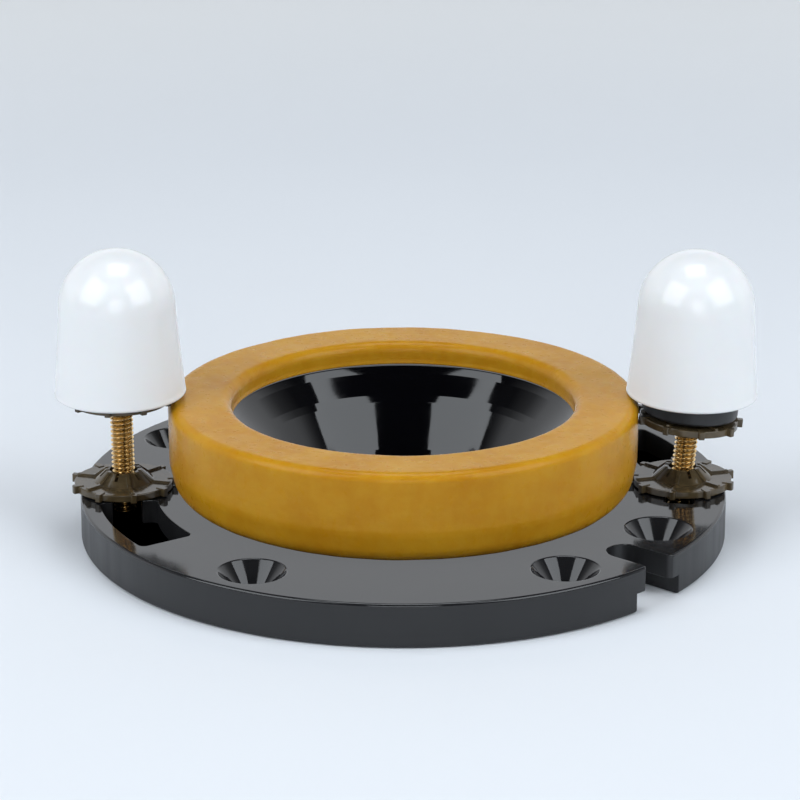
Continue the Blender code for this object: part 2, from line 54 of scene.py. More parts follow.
# Flange.
FLANGE_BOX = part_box("closet_flange")
FLANGE_RADIUS = FLANGE_BOX[1].x / MM
FLANGE_TOP = FLANGE_BOX[1].z / MM
FLANGE_BORE = 50.8
FLANGE_EDGE = 0.8
FLANGE_STEPS = 288
BOLT_CIRCLE = 76.2
CUT_PAST = 2.0
CHANNEL_HEIGHT = 5.3
CHANNEL_WIDTH = 16.0
CHANNEL_ANGLES = (-16.0, 35.0)
KEYHOLE_WIDTH = 15.6
KEYHOLE_ANGLES = (10.0, 34.7)
KEYHOLE_CORNER = 1.6
SLOT_RADII = (72.4, 80.5)
SLOT_ANGLES = (-11.0, 32.7)
SLOT_CORNER = 1.0
SLOT_SIDES = (0.0, 180.0)
NOTCH_ANGLES = (-41.0, 133.5)
NOTCH_WIDTH = 9.8
NOTCH_CHANNEL_WIDTH = 17.8
NOTCH_CENTRE = 77.4
NOTCH_LIP_ROUND = 2.0
SCREW_ANGLES = (-121.0, -56.5, -26.5, 59.0, 118.5, 148.5)
SCREW_HOLE = 3.3
SCREW_SINK = 9.1
SCREW_SINK_DEPTH = 6.7

# Wax ring and horn.
WAX_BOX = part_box("wax_ring")
WAX_BASE = WAX_BOX[0].z / MM
WAX_TOP = WAX_BOX[1].z / MM
WAX_RADIUS = WAX_BOX[1].x / MM
WAX_HOLE = 47.0
WAX_FOOT = 62.6
WAX_FOOT_BORE = 51.5
WAX_UNDER_LIP = 50.0
WAX_STEPS = 400
HORN_LIP = 53.0
HORN_LIP_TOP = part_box("wax_ring_horn")[1].z / MM
HORN_LIP_THICKNESS = 1.9
HORN_MOUTH = 47.4
HORN_WALL = 1.7
HORN_BENDS = (
    (47.6, HORN_LIP_TOP - HORN_LIP_THICKNESS, 0.8),
    (43.0, 24.6, 1.5),
    (41.6, 22.8, 1.5),
    (34.2, 11.2, 2.5),
    (32.5, 8.2, 2.5),
    (31.8, 1.5, 0.5),
)
GAP = 0.3

# Bolts and what stands on them. Heights run along the bolt from the middle of the slot's lip.
BOLT_RADIUS = 3.175
BOLT_ROOT = 2.52
BOLT_TIP = 52.85
BOLT_CHAMFER = 0.7
BOLT_HEAD_TOP = -4.3
BOLT_HEAD = (13.6, 9.6, 2.4)
THREAD_PITCH = 1.27
THREAD_ROWS = 12
THREAD_STEPS = 48
JOINT_ABOVE_RETAINER = 14.3
BASE_ABOVE_RETAINER = 3.0
WASHER_ABOVE_RETAINER = 7.8
NUT_ABOVE_RETAINER = 9.3
RETAINER_RADIUS = 13.6
RETAINER_THICKNESS = 2.0
RETAINER_HEIGHT = 5.0
RETAINER_BORE = 3.8
RETAINER_HUB_FOOT = 8.2
RETAINER_HUB_TOP = 4.9
RETAINER_TAB_RADIUS = 14.9
RETAINER_TAB_WIDTH = 1.7
RETAINER_TABS = 9
RETAINER_RIBS = 6
RETAINER_RIB_WIDTH = 1.0
RETAINER_RIB_HEIGHT = 0.6
RETAINER_SLIT_WIDTH = 0.8
RETAINER_SLIT_RADIUS = 6.6
RETAINER_SLIT_DEPTH = 2.0
RETAINER_RIB_TOP = 0.2
RETAINER_TAB_TOP = 0.25
RETAINER_TAB_FOOT = 0.05
# The cap base's outline, down its outside and up its inside: radius, height and rounding.
CAP_BASE_OUTLINE = (
    (15.1, 8.0, 0.2),
    (15.5, 7.2, 0.3),
    (15.5, 5.8, 0.3),
    (13.2, 5.5, 0.2),
    (13.2, 0.0, 1.0),
    (9.3, 0.0, 0.2),
    (9.3, 2.5, 0.2),
    (3.7, 2.5, 0.2),
    (3.7, 4.5, 0.2),
    (11.2, 4.5, 0.3),
    (13.7, 8.0, 0.2),
)
WASHER_RADIUS = 9.5
WASHER_BORE = 3.6
WASHER_THICKNESS = 1.2
WASHER_EDGE = 0.25
NUT_ACROSS_FLATS = 11.1
NUT_HEIGHT = 5.5
CAP_MOUTH = 18.0
CAP_DOME = 16.0
CAP_SIDE_HEIGHT = 25.0
CAP_HEIGHT = 40.8
CAP_WALL = 1.4
CAP_FLARE = 1.2
SIDES = (
    {"name": "left", "retainer": 28.4, "cap": 30.6, "lower_turn": 165.0, "upper_turn": 20.0},
    {"name": "right", "retainer": 21.3, "cap": 29.6, "lower_turn": 15.0, "upper_turn": 0.0},
)

# The studio. The world's light goes by height, and by how far a direction looks from the front (0)
# to the back (1): between the first two of WORLD_FRONT it rises from the third to the fourth.
WORLD_BY_HEIGHT = ((0.0, 1.0), (0.2, 0.96), (0.42, 0.96), (0.55, 0.3), (0.66, 0.05))
WORLD_FRONT = (0.44, 0.56, 0.05, 1.0)
LIGHT_COLOUR = (0.90, 0.95, 1.0)
# Each light's direction from the object, its distance and size in metres, and its radiance.
SOFTBOXES = {
    "left_softbox": ((-0.68, -0.42, 0.60), 1.7, 1.3, 2.7),
    "right_softbox": ((0.68, -0.42, 0.60), 1.7, 1.3, 2.7),
    "front_softbox": ((0.0, -1.0, 0.30), 2.2, 0.9, 2.1),
    "overhead_softbox": ((0.0, 0.08, 1.0), 1.6, 0.8, 3.2),
}
FLOOR_RADIUS = 6000.0
FLOOR_DEPTH = -40.0
FLOOR_TOP = -0.15
CAMERA_LENS = 163.17
CAMERA_SENSOR = 36.0
CAMERA_PLACE = (-0.9, -942.6, 353.8)
CAMERA_TARGET = (-0.9, 0.0, 36.8)


def new_object(name, vertices, faces):
    """A mesh object from points in millimetres, doubled points merged and faces outwards."""
    mesh = bpy.data.meshes.new(name)
    mesh.from_pydata(vertices, [], faces)
    work = bmesh.new()
    work.from_mesh(mesh)
    bmesh.ops.remove_doubles(work, verts=work.verts, dist=MERGE)
    bmesh.ops.recalc_face_normals(work, faces=work.faces)
    work.to_mesh(mesh)
    work.free()
    mesh.transform(Matrix.Scale(MM, 4))
    mesh.shade_smooth()
    mesh.set_sharp_from_angle(angle=math.radians(SHARP))
    made = bpy.data.objects.new(name, mesh)
    bpy.context.scene.collection.objects.link(made)
    return made


def arc(centre, radius, start, end, steps):
    """Points on an arc, from start to end degrees, both included."""
    angles = [math.radians(start + (end - start) * i / steps) for i in range(steps + 1)]
    return [(centre[0] + radius * math.cos(a), centre[1] + radius * math.sin(a)) for a in angles]


def rounded(corners, steps=6):
    """A closed outline through (x, y, radius) corners, each one rounded by its radius."""
    points = []
    for index, (x, y, radius) in enumerate(corners):
        corner = Vector((x, y))
        if radius == 0:
            points.append((x, y))
            continue
        back = (Vector(corners[index - 1][:2]) - corner).normalized()
        ahead = (Vector(corners[(index + 1) % len(corners)][:2]) - corner).normalized()
        half = back.angle(ahead) / 2
        centre = corner + (back + ahead).normalized() * (radius / math.sin(half))
        start = corner + back * (radius / math.tan(half)) - centre
        end = corner + ahead * (radius / math.tan(half)) - centre
        points += [tuple(centre + start.slerp(end, i / steps) * radius) for i in range(steps + 1)]
    return points


def resampled(outline, longest):
    """Adds points along a closed outline so that no side is longer than this."""
    result = []
    for (x0, y0), (x1, y1) in zip(outline, outline[1:] + outline[:1]):
        parts = max(1, math.ceil(math.hypot(x1 - x0, y1 - y0) / longest))
        result += [(x0 + (x1 - x0) * i / parts, y0 + (y1 - y0) * i / parts) for i in range(parts)]
    return result


def turned(name, outline, steps, shape=None):
    """A closed (radius, height) outline swept round Z. shape may move each point."""
    count = len(outline)
    vertices = []
    for step in range(steps):
        around = 2 * math.pi * step / steps
        for radius, height in outline:
            point = (radius * math.cos(around), radius * math.sin(around), height)
            vertices.append(shape(Vector(point)) if shape else point)
    faces = []
    for step in range(steps):
        here = step * count
        there = (step + 1) % steps * count
        for i in range(count):
            j = (i + 1) % count
            if outline[i][0] > 0 or outline[j][0] > 0:
                faces.append((here + i, here + j, there + j, there + i))
    return new_object(name, vertices, faces)


def prism(name, outline, low, high):
    """A closed (x, y) outline thickened from low to high."""
    count = len(outline)
    vertices = [(x, y, low) for x, y in outline] + [(x, y, high) for x, y in outline]
    faces = [tuple(range(count))[::-1], tuple(range(count, 2 * count))]
    for i in range(count):
        j = (i + 1) % count
        faces.append((i, j, count + j, count + i))
    return new_object(name, vertices, faces)


def copies_round_z(item, count, start=0.0):
    """Turns an object's mesh into count copies of it, evenly spaced round Z."""
    work = bmesh.new()
    for i in range(count):
        copy = item.data.copy()
        copy.transform(Matrix.Rotation(math.radians(start + 360.0 * i / count), 4, "Z"))
        work.from_mesh(copy)
        bpy.data.meshes.remove(copy)
    work.to_mesh(item.data)
    work.free()
    return item


def applied(item):
    """Replaces an object's mesh by what its modifiers make of it."""
    bpy.context.view_layer.update()
    graph = bpy.context.evaluated_depsgraph_get()
    mesh = bpy.data.meshes.new_from_object(item.evaluated_get(graph))
    item.modifiers.clear()
    item.data = mesh
    return item


def cut_and_join(item, steps):
    """Runs (operation, tool) booleans on an object in turn, and removes the tools."""
    for operation, tool in steps:
        change = item.modifiers.new(tool.name, "BOOLEAN")
        change.operation = operation
        change.solver = "EXACT"
        change.object = tool
    applied(item)
    for _, tool in steps:
        bpy.data.objects.remove(tool, do_unlink=True)
    return item


def softened(item, width, angle=36.0):
    """Rounds an object's sharp edges, and keeps its flat faces flat in the light."""
    work = bmesh.new()
    work.from_mesh(item.data)
    bmesh.ops.remove_doubles(work, verts=work.verts, dist=MERGE * MM)
    bmesh.ops.dissolve_degenerate(work, dist=MERGE * MM, edges=work.edges)
    work.to_mesh(item.data)
    work.free()
    bevel = item.modifiers.new("Edges", "BEVEL")
    bevel.width = width * MM
    bevel.segments = 2
    bevel.limit_method = "ANGLE"
    bevel.angle_limit = math.radians(angle)
    bevel.use_clamp_overlap = False
    applied(item)
    item.data.shade_smooth()
    item.data.set_sharp_from_angle(angle=math.radians(SHARP))
    flat = item.modifiers.new("Flat faces", "WEIGHTED_NORMAL")
    flat.keep_sharp = True
    flat.weight = 100
    return applied(item)


def joined(name, items):
    """One object of several."""
    work = bmesh.new()
    for item in items:
        work.from_mesh(item.data)
    mesh = bpy.data.meshes.new(name)
    work.to_mesh(mesh)
    work.free()
    for item in items:
        bpy.data.objects.remove(item, do_unlink=True)
    made = bpy.data.objects.new(name, mesh)
    bpy.context.scene.collection.objects.link(made)
    return made


def dress(item, node, body, material):
    """Gives a piece its material, and puts it in the place of a CAD node."""
    item.data.materials.clear()
    item.data.materials.append(material)
    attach(item, body)
    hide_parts(node)
    return item


# Shapes.


def sector_outline(inner, outer, start, end, corner):
    """An arc-shaped slot between two radii and two azimuths, with rounded corners."""
    middle = (inner + outer) / 2
    low = math.radians(start) * middle
    high = math.radians(end) * middle
    ends = [(high, outer), (low, outer), (low, inner), (high, inner)]
    flat = resampled(rounded([(*end, corner) for end in ends]), 1.6)
    return [(r * math.cos(along / middle), r * math.sin(along / middle)) for along, r in flat]


def notch_outline(width, lip_round):
    """An open rim notch along +X with a round inner end, flared where it meets the rim."""
    half = width / 2
    outside = FLANGE_RADIUS + 2 * CUT_PAST
    points = [(outside, half + lip_round)]
    if lip_round > 0:
        points += arc((FLANGE_RADIUS - lip_round, half + lip_round), lip_round, 0, -90, 8)
    mirrored = [(x, -y) for x, y in reversed(points)]
    return points + arc((NOTCH_CENTRE, 0.0), half, 90, 270, 28) + mirrored


def t_slot_tools(side):
    """The channel underneath, the keyhole for a bolt's head, and the slot."""
    half = CHANNEL_WIDTH / 2
    angles = [side + angle for angle in CHANNEL_ANGLES]
    outline = sector_outline(BOLT_CIRCLE - half, BOLT_CIRCLE + half, *angles, KEYHOLE_CORNER)
    channel = prism("channel", outline, -CUT_PAST, CHANNEL_HEIGHT)
    half = KEYHOLE_WIDTH / 2
    angles = [side + angle for angle in KEYHOLE_ANGLES]
    outline = sector_outline(BOLT_CIRCLE - half, BOLT_CIRCLE + half, *angles, KEYHOLE_CORNER)
    keyhole = prism("keyhole", outline, -2 * CUT_PAST, FLANGE_TOP + 2 * CUT_PAST)
    angles = [side + angle for angle in SLOT_ANGLES]
    outline = sector_outline(*SLOT_RADII, *angles, SLOT_CORNER)
    slot = prism("slot", outline, -CUT_PAST, FLANGE_TOP + CUT_PAST)
    return [channel, keyhole, slot]


def notch_tools(angle):
    """A rim notch from top to bottom, and the wider channel under it."""
    outline = notch_outline(NOTCH_WIDTH, NOTCH_LIP_ROUND)
    lip = prism("notch", outline, -CUT_PAST, FLANGE_TOP + CUT_PAST)
    outline = notch_outline(NOTCH_CHANNEL_WIDTH, 0.0)
    under = prism("notch_channel", outline, -2 * CUT_PAST, CHANNEL_HEIGHT)
    for tool in (lip, under):
        tool.data.transform(Matrix.Rotation(math.radians(angle), 4, "Z"))
    return [lip, under]


def screw_tool(angle):
    """A screw hole with a cone on top, on the bolt circle."""
    slope = (SCREW_SINK - SCREW_HOLE) / SCREW_SINK_DEPTH
    outline = [
        (0.0, FLANGE_TOP + CUT_PAST),
        (SCREW_SINK + slope * CUT_PAST, FLANGE_TOP + CUT_PAST),
        (SCREW_HOLE, FLANGE_TOP - SCREW_SINK_DEPTH),
        (SCREW_HOLE, -CUT_PAST),
        (0.0, -CUT_PAST),
    ]
    tool = turned("screw_hole", outline, 72)
    around = math.radians(angle)
    place = Vector((math.cos(around), math.sin(around), 0.0)) * BOLT_CIRCLE * MM
    tool.data.transform(Matrix.Translation(place))
    return tool


def make_flange(material):
    edge = FLANGE_EDGE
    corners = [
        (FLANGE_RADIUS, 0.0, edge),
        (FLANGE_RADIUS, FLANGE_TOP, edge),
        (FLANGE_BORE, FLANGE_TOP, edge),
        (FLANGE_BORE, 0.0, edge),
    ]
    ring = turned("flange_moulding", rounded(corners), FLANGE_STEPS)
    tools = [tool for side in SLOT_SIDES for tool in t_slot_tools(side)]
    tools += [tool for angle in NOTCH_ANGLES for tool in notch_tools(angle)]
    tools += [screw_tool(angle) for angle in SCREW_ANGLES]
    cut_and_join(ring, [("DIFFERENCE", tool) for tool in tools])
    softened(ring, 0.3)
    dress(ring, "closet_flange", "flange", material)


def wax_lumps(point):
    """Pressed wax: hollows of several sizes, all of them inwards."""
    inward = Vector((point.x, point.y, 0.0)).normalized()
    middle = inward * (WAX_RADIUS + WAX_HOLE) / 2 + Vector((0.0, 0.0, (WAX_TOP + WAX_BASE) / 2))
    towards = (middle - point).normalized()
    depth = 0.16 * (1 + noise.noise(point / 23.0)) + 0.07 * (1 + noise.noise(point / 6.5))
    depth += 0.02 * (1 + noise.noise(point / 1.9))
    on_seat = point.z < WAX_BASE + 0.01
    inside = Vector((point.x, point.y)).length < HORN_LIP + 1 and point.z < HORN_LIP_TOP + 1
    return point if on_seat or inside else point + towards * depth


def make_wax_ring(material):
    lip_low = HORN_LIP_TOP - HORN_LIP_THICKNESS - GAP
    lip_high = HORN_LIP_TOP + GAP
    corners = [
        (WAX_HOLE, WAX_TOP, 2.8),
        (WAX_RADIUS, WAX_TOP, 2.6),
        (WAX_RADIUS, WAX_BASE + 9.0, 12.0),
        (WAX_FOOT, WAX_BASE, 5.5),
        (WAX_FOOT_BORE, WAX_BASE, 0),
        (WAX_UNDER_LIP, lip_low, 0),
        (HORN_LIP + GAP, lip_low, 0),
        (HORN_LIP + GAP, lip_high, 0),
        (WAX_HOLE, lip_high, 0.5),
    ]
    outline = resampled(rounded(corners, 10), 0.8)
    ring = turned("wax_ring_cast", outline, WAX_STEPS, wax_lumps)
    ring.visible_glossy = False
    dress(ring, "wax_ring", "wax_ring", material)


def make_horn(material):
    lip_low = HORN_LIP_TOP - HORN_LIP_THICKNESS
    lip = [(HORN_LIP, HORN_LIP_TOP, 0.5), (HORN_LIP, lip_low, 0.5)]
    inside = [(radius - HORN_WALL, height, bend) for radius, height, bend in reversed(HORN_BENDS)]
    inside[-1] = (HORN_BENDS[0][0] - HORN_WALL, lip_low, 0.8)
    corners = lip + list(HORN_BENDS) + inside + [(HORN_MOUTH, HORN_LIP_TOP, 0.5)]
    horn = turned("horn_funnel", resampled(rounded(corners), 3.0), 240)
    horn.visible_glossy = False
    dress(horn, "wax_ring_horn", "wax_ring", material)


def thread_radius(height, around):
    """How far a rolled thread stands out at a height and an angle."""
    phase = (height / THREAD_PITCH - around / (2 * math.pi)) % 1.0
    ramp = min(1.0, max(0.0, (1.0 - abs(2 * phase - 1.0) - 0.14) / 0.72))
    crest = BOLT_ROOT + (BOLT_RADIUS - BOLT_ROOT) * ramp
    return min(crest, BOLT_RADIUS - BOLT_CHAMFER + BOLT_TIP - height)


def make_bolt(side, place, material):
    low = BOLT_HEAD_TOP - BOLT_HEAD[2] / 2
    rows = math.ceil((BOLT_TIP - low) / THREAD_PITCH * THREAD_ROWS)
    vertices = []
    for row in range(rows + 1):
        height = low + (BOLT_TIP - low) * row / rows
        for step in range(THREAD_STEPS):
            around = 2 * math.pi * step / THREAD_STEPS
            radius = thread_radius(height, around)
            vertices.append((radius * math.cos(around), radius * math.sin(around), height))
    faces = []
    for row in range(rows):
        for step in range(THREAD_STEPS):
            here = row * THREAD_STEPS + step
            beside = row * THREAD_STEPS + (step + 1) % THREAD_STEPS
            faces.append((here, beside, beside + THREAD_STEPS, here + THREAD_STEPS))
    faces.append(tuple(range(THREAD_STEPS))[::-1])
    faces.append(tuple(range(rows * THREAD_STEPS, (rows + 1) * THREAD_STEPS)))
    shank = new_object("shank", vertices, faces)
    half = BOLT_HEAD[1] / 2
    reach = BOLT_HEAD[0] / 2 - half
    outline = arc((reach, 0.0), half, -90, 90, 20) + arc((-reach, 0.0), half, 90, 270, 20)
    head = prism("head", outline, BOLT_HEAD_TOP - BOLT_HEAD[2], BOLT_HEAD_TOP)
    bolt = joined(side + "_threaded_bolt", [softened(head, 0.35), shank])
    bolt.matrix_world = place
    dress(bolt, side + "_closet_bolt", side + "_bolt", material)


def retainer_mesh():
    """A push-on disc: a slit hub, ribs that run down it to the rim, and grip tabs."""
    flat = RETAINER_THICKNESS
    corners = [
        (RETAINER_HUB_TOP, RETAINER_HEIGHT, 0.3),
        (RETAINER_HUB_FOOT, flat, 0.8),
        (RETAINER_RADIUS, flat, 0.3),
        (RETAINER_RADIUS, 0.0, 0.3),
        (RETAINER_BORE, 0.0, 0),
        (RETAINER_BORE, RETAINER_HEIGHT, 0.2),
    ]
    disc = turned("retainer", rounded(corners), 144)
    rib_top = RETAINER_HEIGHT + RETAINER_RIB_TOP
    hub = (RETAINER_BORE + RETAINER_HUB_TOP) / 2
    rim = RETAINER_RADIUS - 0.2
    on_disc = flat + RETAINER_RIB_HEIGHT
    rib = [
        (hub, flat - 1.0, 0),
        (rim, flat - 1.0, 0),
        (rim, on_disc, 0.3),
        (RETAINER_HUB_FOOT + 0.3, on_disc, 1.0),
        (RETAINER_HUB_TOP + 0.2, rib_top, 0.4),
        (hub, rib_top, 0),
    ]
    half = RETAINER_RIB_WIDTH / 2
    ribs = prism("ribs", rounded(rib), -half, half)
    ribs.data.transform(Matrix.Rotation(math.pi / 2, 4, "X"))
    half = RETAINER_TAB_WIDTH / 2
    tab = [
        (RETAINER_RADIUS - 1.6, -half, 0),
        (RETAINER_TAB_RADIUS, -half, 0.4),
        (RETAINER_TAB_RADIUS, half, 0.4),
        (RETAINER_RADIUS - 1.6, half, 0),
    ]
    tabs = prism("tabs", rounded(tab), RETAINER_TAB_FOOT, flat + RETAINER_TAB_TOP)
    half = RETAINER_SLIT_WIDTH / 2
    near = RETAINER_BORE - 1.0
    far = RETAINER_SLIT_RADIUS
    slit = [(near, -half), (far, -half), (far, half), (near, half)]
    low = RETAINER_HEIGHT - RETAINER_SLIT_DEPTH
    slits = prism("slits", slit, low, RETAINER_HEIGHT + CUT_PAST)
    steps = [
        ("UNION", copies_round_z(ribs, RETAINER_RIBS)),
        ("UNION", copies_round_z(tabs, RETAINER_TABS)),
        ("DIFFERENCE", copies_round_z(slits, RETAINER_RIBS, 180.0 / RETAINER_RIBS)),
    ]
    cut_and_join(disc, steps)
    mesh = softened(disc, 0.06).data
    bpy.data.objects.remove(disc, do_unlink=True)
    return mesh


def stand(name, mesh, place):
    """A new object of a mesh, which is moved into place."""
    mesh.transform(place)
    made = bpy.data.objects.new(name, mesh)
    bpy.context.scene.collection.objects.link(made)
    return made


def make_cap_base(name):
    return turned(name, rounded(CAP_BASE_OUTLINE), 128)


def make_washer(name):
    high = WASHER_THICKNESS
    corners = [(WASHER_RADIUS, high), (WASHER_RADIUS, 0.0), (WASHER_BORE, 0.0), (WASHER_BORE, high)]
    return turned(name, rounded([(*corner, WASHER_EDGE) for corner in corners], 3), 96)


def make_nut(name):
    """A hexagon nut, its corners turned off at both ends, with a chamfered bore."""
    corner = NUT_ACROSS_FLATS / 2 / math.cos(math.radians(30))
    nut = prism(name, arc((0.0, 0.0), corner, 0, 300, 5), 0.0, NUT_HEIGHT)
    blank = [(0.0, -0.2), (5.45, -0.2), (6.5, 0.6), (6.5, 4.9), (5.45, 5.7), (0.0, 5.7)]
    bore = [(0.0, 8.0), (6.2, 8.0), (3.3, 5.1), (3.3, 0.4), (5.9, -2.2), (0.0, -2.2)]
    steps = [("INTERSECT", turned("blank", blank, 72)), ("DIFFERENCE", turned("bore", bore, 72))]
    cut_and_join(nut, steps)
    return softened(nut, 0.15, 25.0)


def cap_wall(mouth, dome, rise):
    """Half of a cap's outline: an elliptical crown, then a side that flares to the mouth."""
    crown = [(dome * math.sin(a), CAP_SIDE_HEIGHT + rise * math.cos(a))
             for a in [math.pi / 2 * i / 28 for i in range(29)]]
    shares = [i / 24 for i in range(1, 25)]
    side = [(dome + (mouth - dome) * s**CAP_FLARE, CAP_SIDE_HEIGHT * (1 - s)) for s in shares]
    return crown + side


def make_cap(name):
    rise = CAP_HEIGHT - CAP_SIDE_HEIGHT
    outer = cap_wall(CAP_MOUTH, CAP_DOME, rise)
    inner = cap_wall(CAP_MOUTH - CAP_WALL, CAP_DOME - CAP_WALL, rise - CAP_WALL)[::-1]
    lip = CAP_WALL / 2
    rim = arc((CAP_MOUTH - lip, lip), lip, 0, -180, 8)
    outer = [point for point in outer if point[1] > lip]
    inner = [point for point in inner if point[1] > lip]
    return turned(name, outer + rim + inner, 160)


def make_side(side, mesh, looks):
    """Everything on one bolt, placed by the frame's joints."""
    name = side["name"]
    joints = {joint["name"]: joint for joint in frame["joints"]}
    nut_joint = joints[name + "_nut_turn"]
    axis = Vector(nut_joint["axis"]).normalized()
    up_to_joint = side["retainer"] + JOINT_ABOVE_RETAINER
    start = Vector(nut_joint["pos_m"]) - axis * up_to_joint * MM
    azimuth = math.atan2(start.y, start.x)

    def place(height, turn=0.0, direction=axis):
        lean = Matrix.Rotation(azimuth, 4, "Z") @ Matrix.Rotation(math.acos(direction.z), 4, "Y")
        spin = Matrix.Rotation(math.radians(turn), 4, "Z")
        return Matrix.Translation(start + axis * height * MM) @ lean @ spin

    make_bolt(name, place(0.0), looks["brass"])
    low = Vector(joints[name + "_lower_retainer_turn"]["pos_m"])
    low.z = WAX_BASE * MM
    spin = Matrix.Rotation(math.radians(side["lower_turn"]), 4, "Z")
    lower = stand(name + "_lower_push_nut", mesh.copy(), Matrix.Translation(low) @ spin)
    low_name = name + "_lower_retainer"
    dress(lower, low_name, low_name, looks["bronze"])

    stack = name + "_upper_stack"
    high = side["retainer"]
    turn = side["upper_turn"] - math.degrees(azimuth)
    upper = stand(name + "_upper_push_nut", mesh.copy(), place(high, turn))
    dress(upper, name + "_upper_retainer", stack, looks["bronze"])
    base = make_cap_base(name + "_snap_base")
    base.matrix_world = place(high + BASE_ABOVE_RETAINER)
    dress(base, name + "_cap_base", stack, looks["black"])
    washer = make_washer(name + "_flat_washer")
    washer.matrix_world = place(high + WASHER_ABOVE_RETAINER)
    dress(washer, name + "_washer", stack, looks["brass"])
    nut = make_nut(name + "_hex_nut")
    nut.matrix_world = place(high + NUT_ABOVE_RETAINER)
    dress(nut, name + "_nut", name + "_nut", looks["brass"])
    cap = make_cap(name + "_dome_cap")
    direction = Vector(joints[name + "_cap_lift"]["axis"]).normalized()
    cap.data.transform(place(side["cap"], 0.0, direction))
    dress(cap, name + "_cap", name + "_cap", looks["white"])


# Materials.


class Look:
    """A node material. Places are in metres on the piece's own axes."""

    def __init__(self, name, **values):
        self.material = bpy.data.materials.new(name)
        self.material.use_nodes = True
        self.tree = self.material.node_tree
        self.shader = self.tree.nodes["Principled BSDF"]
        coordinates = self.tree.nodes.new("ShaderNodeTexCoord")
        self.place = coordinates.outputs["Object"]
        self.facing = coordinates.outputs["Normal"]
        for socket, value in values.items():
            self.shader.inputs[socket.replace("_", " ")].default_value = value

    def add(self, kind, values, **settings):
        """A node with its settings, and its inputs set or linked by name or number."""
        node = self.tree.nodes.new(kind)
        for key, value in settings.items():
            setattr(node, key, value)
        for socket, value in values.items():
            if isinstance(value, bpy.types.NodeSocket):
                self.tree.links.new(value, node.inputs[socket])
            else:
                node.inputs[socket].default_value = value
        return node

    def noise(self, size, detail=2.0, stretch=(1.0, 1.0, 1.0)):
        """Noise from 0 to 1, with features of about this size in millimetres."""
        scaled = self.add("ShaderNodeVectorMath", {0: self.place, 1: stretch}, operation="MULTIPLY")
        values = {"Vector": scaled.outputs[0], "Scale": 1 / (size * MM), "Detail": detail}
        return self.add("ShaderNodeTexNoise", values).outputs[0]

    def ramp(self, value, low, high, start=0.0, end=1.0):
        """value from low to high, turned into start to end and held there."""
        values = {0: value, 1: low, 2: high, 3: start, 4: end}
        return self.add("ShaderNodeMapRange", values, interpolation_type="SMOOTHSTEP").outputs[0]

    def maths(self, operation, first, second=0.0):
        return self.add("ShaderNodeMath", {0: first, 1: second}, operation=operation).outputs[0]

    def axis(self, vector, index):
        return self.add("ShaderNodeSeparateXYZ", {0: vector}).outputs[index]

    def radius(self):
        """The distance from the piece's Z axis."""
        kind = "ShaderNodeVectorMath"
        flat = self.add(kind, {0: self.place, 1: (1.0, 1.0, 0.0)}, operation="MULTIPLY")
        return self.add(kind, {0: flat.outputs[0]}, operation="LENGTH").outputs["Value"]

    def rings(self, size):
        """Noise that runs round the piece's Z axis in bands of about this size in millimetres."""
        values = {0: self.radius(), 1: self.axis(self.place, 2)}
        across = self.add("ShaderNodeCombineXYZ", values).outputs[0]
        values = {"Vector": across, "Scale": 1 / (size * MM), "Detail": 2.0}
        return self.add("ShaderNodeTexNoise", values).outputs[0]

    def mix(self, share, first, second):
        """A colour between two, each three numbers or a socket."""
        pair = [c if isinstance(c, bpy.types.NodeSocket) else (*c, 1.0) for c in (first, second)]
        node = self.add("ShaderNodeMix", {0: share, 6: pair[0], 7: pair[1]}, data_type="RGBA")
        return node.outputs[2]

    def relief(self, layers):
        """Bumps of (height from 0 to 1, depth in millimetres), one on top of the other."""
        normal = None
        for height, depth in layers:
            values = {"Height": height, "Distance": depth * MM, "Strength": 1.0}
            if normal:
                values["Normal"] = normal
            normal = self.add("ShaderNodeBump", values).outputs[0]
        self.tree.links.new(normal, self.shader.inputs["Normal"])

    def finish(self, colour, rough):
        self.tree.links.new(colour, self.shader.inputs["Base Color"])
        self.tree.links.new(rough, self.shader.inputs["Roughness"])
        return self.material


def black_abs():
    """Moulded plastic: a scuffed satin top, and glossier walls with fine strokes."""
    look = Look("black_abs", IOR=1.5)
    up = look.ramp(look.axis(look.facing, 2), 0.9, 0.99)
    level = look.maths("ABSOLUTE", look.axis(look.facing, 2))
    wall = look.ramp(level, 0.25, 0.05)
    cloud = look.noise(14.0, 4.0)
    scuff = look.ramp(look.noise(0.9, 3.0), 0.5, 0.75)
    colour = look.mix(cloud, (0.009, 0.009, 0.010), (0.014, 0.014, 0.015))
    colour = look.mix(look.maths("MULTIPLY", up, scuff), colour, (0.020, 0.020, 0.021))
    on_top = look.ramp(cloud, 0.3, 0.7, 0.05, 0.10)
    on_wall = look.ramp(look.noise(5.0, 3.0, (1.0, 1.0, 0.1)), 0.3, 0.7, 0.34, 0.44)
    rough = look.add("ShaderNodeMix", {0: wall, 2: on_top, 3: on_wall}).outputs[0]
    strokes = look.noise(1.1, 2.0, (1.0, 1.0, 0.08))
    look.relief([(look.noise(26.0, 1.0), 0.03), (strokes, 0.0015), (look.noise(0.35, 2.0), 0.0006)])
    return look.finish(colour, rough)


